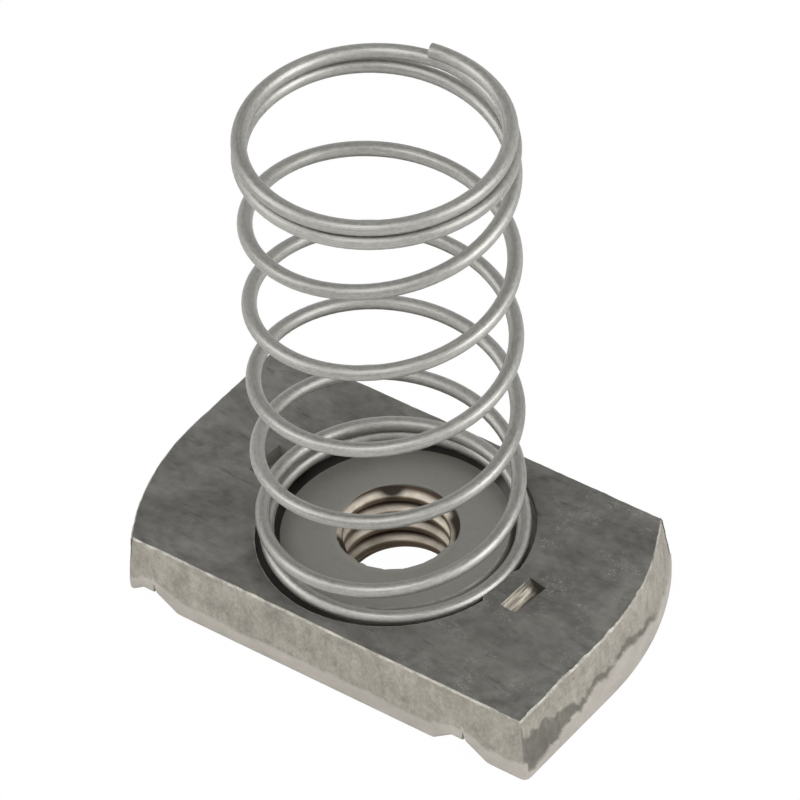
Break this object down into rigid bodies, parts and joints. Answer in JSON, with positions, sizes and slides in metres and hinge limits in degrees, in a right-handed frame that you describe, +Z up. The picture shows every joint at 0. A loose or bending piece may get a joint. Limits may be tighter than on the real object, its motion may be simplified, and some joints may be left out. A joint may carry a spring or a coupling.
{
  "type": "strut spring nut",
  "caption": "Steel channel nut plate with a tapped hole, grooves across its underside and a compression spring staked into a ring groove in its top face.",
  "frame": {"origin": "on the axis of the tapped hole, at the height of the nut plate's underside", "axes": "+Z up the tapped hole and out through the spring, +X along the plate's long side, +Y across its short side"},
  "size_m": [0.0342, 0.02, 0.0384],
  "materials": {
    "plate_steel": "blanked sheet steel, dull grey faces, torn and burnished edges",
    "spring_wire": "drawn stainless spring wire, satin bright"
  },
  "bodies": {
    "root": {"nut_plate": "plate_steel", "spring": "spring_wire"}
  },
  "joints": []
}
